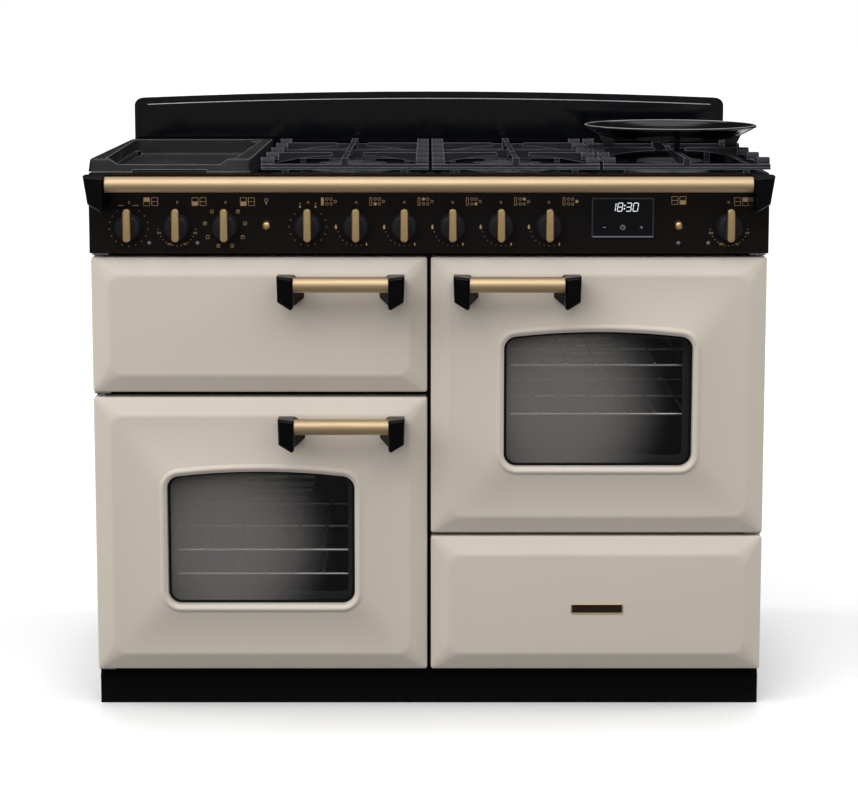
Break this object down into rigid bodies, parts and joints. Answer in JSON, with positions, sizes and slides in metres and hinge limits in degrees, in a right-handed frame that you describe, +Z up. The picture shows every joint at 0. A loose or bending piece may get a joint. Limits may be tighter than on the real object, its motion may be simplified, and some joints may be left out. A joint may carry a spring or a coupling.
{
  "type": "range cooker",
  "caption": "Freestanding range cooker with twin side-hung ovens, side-hung grill, storage drawer, gas hob with cast supports, griddle, rotary controls and front handrail.",
  "frame": {"origin": "on the floor, under the middle of the whole", "axes": "+X to the viewer's right, along the hob; +Y to the back, away from the doors; +Z up"},
  "size_m": [1.115, 0.67, 0.99],
  "materials": {
    "chassis_steel": "galvanised and painted sheet",
    "foot_plastic": "moulded black",
    "panel_steel": "satin black",
    "plinth_black": "gloss black",
    "fascia_enamel": "satin dark brown-black",
    "display_glass": "smoked gloss",
    "lamp_lens": "clear dome",
    "brass": "brushed brass",
    "bracket_black": "gloss black",
    "hob_enamel": "gloss black enamel",
    "burner_alloy": "cast aluminium",
    "cap_enamel": "matt black enamel",
    "oven_enamel": "speckled dark enamel",
    "shelf_chrome": "bright wire",
    "element_steel": "heat-darkened sheath",
    "runner_zinc": "zinc plated",
    "seal_rubber": "woven gasket",
    "pipe_brass": "drawn pipe",
    "knob_charcoal": "satin charcoal",
    "door_cream": "gloss latte enamel",
    "window_glass": "smoked glass",
    "griddle_iron": "matt black",
    "support_iron": "matt blue-black enamel",
    "ring_iron": "satin black enamel",
    "fan_steel": "bright steel"
  },
  "bodies": {
    "cabinet": {"chassis": "chassis_steel", "levelling_feet": "foot_plastic", "outer_panels": "panel_steel", "plinth": "plinth_black", "control_panel": "fascia_enamel", "clock_display": "display_glass", "indicator_lamps": "lamp_lens", "handrail_tube": "brass", "handrail_brackets": "bracket_black", "splashback": "hob_enamel", "hob_tray": "hob_enamel", "burner_heads": "burner_alloy", "burner_caps": "cap_enamel", "left_oven_cavity": "oven_enamel", "right_oven_cavity": "oven_enamel", "grill_cavity": "oven_enamel", "shelf_ladders": "shelf_chrome", "oven_shelves": "shelf_chrome", "fan_covers": "oven_enamel", "grill_element": "element_steel", "grill_pan": "oven_enamel", "drawer_runners": "runner_zinc", "door_hinges": "runner_zinc", "door_seals": "seal_rubber", "gas_rail": "pipe_brass"},
    "grill_door": {"grill_door_skin": "door_cream", "grill_door_liner": "oven_enamel", "grill_door_handle": "brass", "grill_door_brackets": "bracket_black"},
    "left_oven_door": {"left_door_skin": "door_cream", "left_door_liner": "oven_enamel", "left_door_glass": "window_glass", "left_door_handle": "brass", "left_door_brackets": "bracket_black"},
    "right_oven_door": {"right_door_skin": "door_cream", "right_door_liner": "oven_enamel", "right_door_glass": "window_glass", "right_door_handle": "brass", "right_door_brackets": "bracket_black"},
    "drawer": {"drawer_front": "door_cream", "drawer_box": "chassis_steel"},
    "griddle": {"griddle": "griddle_iron"},
    "pan_support_left": {"pan_support_left": "support_iron"},
    "pan_support_centre": {"pan_support_centre": "support_iron"},
    "pan_support_right": {"pan_support_right": "support_iron"},
    "wok_ring": {"wok_ring": "ring_iron"},
    "left_oven_fan": {"left_oven_fan": "fan_steel"},
    "right_oven_fan": {"right_oven_fan": "fan_steel"},
    "light_button": {"light_button": "brass"},
    "timer_button": {"timer_button": "brass"},
    "knob_1": {"knob_1": "knob_charcoal"},
    "knob_2": {"knob_2": "knob_charcoal"},
    "knob_3": {"knob_3": "knob_charcoal"},
    "knob_4": {"knob_4": "knob_charcoal"},
    "knob_5": {"knob_5": "knob_charcoal"},
    "knob_6": {"knob_6": "knob_charcoal"},
    "knob_7": {"knob_7": "knob_charcoal"},
    "knob_8": {"knob_8": "knob_charcoal"},
    "knob_9": {"knob_9": "knob_charcoal"},
    "knob_10": {"knob_10": "knob_charcoal"}
  },
  "joints": [
    {"name": "grill_door_hinge", "type": "hinge", "parent": "cabinet", "child": "grill_door", "pos_m": [-0.532, -0.242, 0.6375], "axis": [0, 0, -1], "range_deg": [0, 100]},
    {"name": "left_oven_door_hinge", "type": "hinge", "parent": "cabinet", "child": "left_oven_door", "pos_m": [-0.532, -0.242, 0.2905], "axis": [0, 0, -1], "range_deg": [0, 100]},
    {"name": "right_oven_door_hinge", "type": "hinge", "parent": "cabinet", "child": "right_oven_door", "pos_m": [0.532, -0.242, 0.5205], "axis": [0, 0, 1], "range_deg": [0, 100]},
    {"name": "drawer_slide", "type": "slide", "parent": "cabinet", "child": "drawer", "axis": [0, -1, 0], "range_m": [0, 0.4]},
    {"name": "knob_1_turn", "type": "hinge", "parent": "cabinet", "child": "knob_1", "pos_m": [-0.4825, -0.273, 0.798], "axis": [0, -1, 0], "range_deg": [-300, 0]},
    {"name": "knob_2_turn", "type": "hinge", "parent": "cabinet", "child": "knob_2", "pos_m": [-0.405, -0.273, 0.798], "axis": [0, -1, 0], "range_deg": [-300, 0]},
    {"name": "knob_3_turn", "type": "hinge", "parent": "cabinet", "child": "knob_3", "pos_m": [-0.3275, -0.273, 0.798], "axis": [0, -1, 0], "range_deg": [-300, 0]},
    {"name": "knob_4_turn", "type": "hinge", "parent": "cabinet", "child": "knob_4", "pos_m": [-0.1945, -0.273, 0.798], "axis": [0, -1, 0], "range_deg": [-300, 0]},
    {"name": "knob_5_turn", "type": "hinge", "parent": "cabinet", "child": "knob_5", "pos_m": [-0.117, -0.273, 0.798], "axis": [0, -1, 0], "range_deg": [0, 210]},
    {"name": "knob_6_turn", "type": "hinge", "parent": "cabinet", "child": "knob_6", "pos_m": [-0.0395, -0.273, 0.798], "axis": [0, -1, 0], "range_deg": [0, 210]},
    {"name": "knob_7_turn", "type": "hinge", "parent": "cabinet", "child": "knob_7", "pos_m": [0.038, -0.273, 0.798], "axis": [0, -1, 0], "range_deg": [0, 210]},
    {"name": "knob_8_turn", "type": "hinge", "parent": "cabinet", "child": "knob_8", "pos_m": [0.1155, -0.273, 0.798], "axis": [0, -1, 0], "range_deg": [0, 210]},
    {"name": "knob_9_turn", "type": "hinge", "parent": "cabinet", "child": "knob_9", "pos_m": [0.193, -0.273, 0.798], "axis": [0, -1, 0], "range_deg": [0, 210]},
    {"name": "knob_10_turn", "type": "hinge", "parent": "cabinet", "child": "knob_10", "pos_m": [0.482, -0.273, 0.798], "axis": [0, -1, 0], "range_deg": [-300, 0]},
    {"name": "light_button_press", "type": "slide", "parent": "cabinet", "child": "light_button", "axis": [0, 1, 0], "range_m": [0, 0.003], "stiffness_N_per_m": 600},
    {"name": "timer_button_press", "type": "slide", "parent": "cabinet", "child": "timer_button", "axis": [0, 1, 0], "range_m": [0, 0.003], "stiffness_N_per_m": 600},
    {"name": "griddle_lift", "type": "slide", "parent": "cabinet", "child": "griddle", "axis": [0, 0, 1], "range_m": [0, 0.15]},
    {"name": "pan_support_left_lift", "type": "slide", "parent": "cabinet", "child": "pan_support_left", "axis": [0, 0, 1], "range_m": [0, 0.1]},
    {"name": "pan_support_centre_lift", "type": "slide", "parent": "cabinet", "child": "pan_support_centre", "axis": [0, 0, 1], "range_m": [0, 0.03]},
    {"name": "pan_support_right_lift", "type": "slide", "parent": "cabinet", "child": "pan_support_right", "axis": [0, 0, 1], "range_m": [0, 0.1]},
    {"name": "wok_ring_lift", "type": "slide", "parent": "pan_support_right", "child": "wok_ring", "axis": [0, 0, 1], "range_m": [0, 0.1]},
    {"name": "left_oven_fan_spin", "type": "hinge", "parent": "cabinet", "child": "left_oven_fan", "pos_m": [-0.2745, 0.1, 0.292], "axis": [0, 1, 0], "continuous": true},
    {"name": "right_oven_fan_spin", "type": "hinge", "parent": "cabinet", "child": "right_oven_fan", "pos_m": [0.2745, 0.1, 0.522], "axis": [0, 1, 0], "continuous": true}
  ]
}
